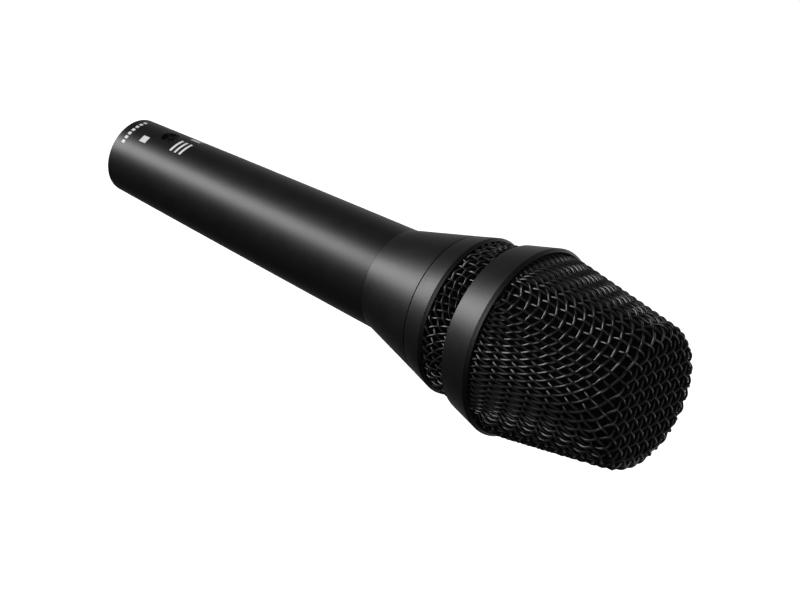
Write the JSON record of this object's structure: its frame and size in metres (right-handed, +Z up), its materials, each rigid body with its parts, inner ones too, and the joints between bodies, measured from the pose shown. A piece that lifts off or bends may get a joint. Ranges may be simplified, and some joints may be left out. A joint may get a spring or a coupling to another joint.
{
  "type": "dynamic microphone",
  "caption": "Handheld dynamic vocal microphone: slim tapered black handle, flared neck and a wide banded head with a woven wire grille; three-pin socket in the tail.",
  "frame": {"origin": "centre of the tail's end face, on the long axis, where the cable's connector goes in", "axes": "+X along the long axis from the tail to the head, +Z up as the microphone lies, +Y across"},
  "size_m": [0.1845, 0.051, 0.051],
  "materials": {
    "body_black": "satin powder coat, black",
    "mesh_black": "semi-gloss black enamel on woven steel wire",
    "plated_steel": "nickel plated",
    "foam": "open-cell acoustic foam, black",
    "rubber": "moulded rubber, black",
    "insulator": "moulded, black",
    "contact": "gold-plated brass",
    "board": "glass-fibre circuit board, green solder mask",
    "ceramic": "chip capacitors, tan",
    "screw_black": "blackened steel",
    "lead_red": "PVC insulation, red",
    "lead_blue": "PVC insulation, blue",
    "capsule_plastic": "moulded, dark grey",
    "magnet": "nickel-plated sintered magnet",
    "copper_wire": "enamelled copper winding",
    "film": "thin clear film",
    "felt": "thin acoustic felt",
    "cloth": "fine acoustic cloth"
  },
  "bodies": {
    "handle_body": {"handle": "body_black", "neck_flare": "body_black", "xlr_shell": "plated_steel", "xlr_insulator": "insulator", "xlr_pin_1": "contact", "xlr_pin_2": "contact", "xlr_pin_3": "contact", "rf_board": "board", "rf_capacitors": "ceramic", "ground_tag": "contact", "lead_hot": "lead_red", "lead_cold": "lead_blue", "capsule_carrier": "insulator", "rear_shock_ring": "rubber", "front_shock_ring": "rubber"},
    "seal_body": {"head_seal": "rubber"},
    "head": {"collar_ring": "body_black", "rear_mesh": "mesh_black", "grille_band": "body_black", "mesh_clamp_ring": "plated_steel", "front_mesh": "mesh_black", "front_windscreen": "foam", "rear_windscreen": "foam"},
    "lock_screw_body": {"lock_screw": "screw_black"},
    "capsule": {"rear_chamber": "capsule_plastic", "capsule_body": "capsule_plastic", "magnet_yoke": "plated_steel", "magnet": "magnet", "pole_piece": "plated_steel", "hum_coil": "copper_wire", "surround": "film", "diaphragm_ring": "contact", "damping_felt": "felt", "resonator_cap": "capsule_plastic", "capsule_cloth": "cloth", "terminal_board": "board", "solder_tags": "contact"},
    "coil": {"voice_coil": "copper_wire", "diaphragm": "film"}
  },
  "joints": [
    {"name": "head_travel", "type": "slide", "parent": "handle_body", "child": "seal_body", "axis": [1, 0, 0], "range_m": [0, 0.004]},
    {"name": "head_turn", "type": "hinge", "parent": "seal_body", "child": "head", "pos_m": [0.12, 0, 0], "axis": [1, 0, 0], "range_deg": [0, 1440]},
    {"name": "lock_screw_turn", "type": "hinge", "parent": "handle_body", "child": "lock_screw_body", "pos_m": [0.0151, 0.00041, 0.00949], "axis": [0, 0.0436, 0.999], "range_deg": [0, 720]},
    {"name": "capsule_float", "type": "slide", "parent": "handle_body", "child": "capsule", "axis": [1, 0, 0], "range_m": [-0.001, 0.001], "stiffness_N_per_m": 1500, "deforming": ["front_shock_ring", "rear_shock_ring", "lead_hot", "lead_cold"]},
    {"name": "coil_travel", "type": "slide", "parent": "capsule", "child": "coil", "axis": [1, 0, 0], "range_m": [-0.0003, 0.0003], "stiffness_N_per_m": 400, "deforming": ["surround"]}
  ],
  "couplings": [
    {"joint": "head_travel", "follows": "head_turn", "m_per_rad": 0.00015915}
  ]
}
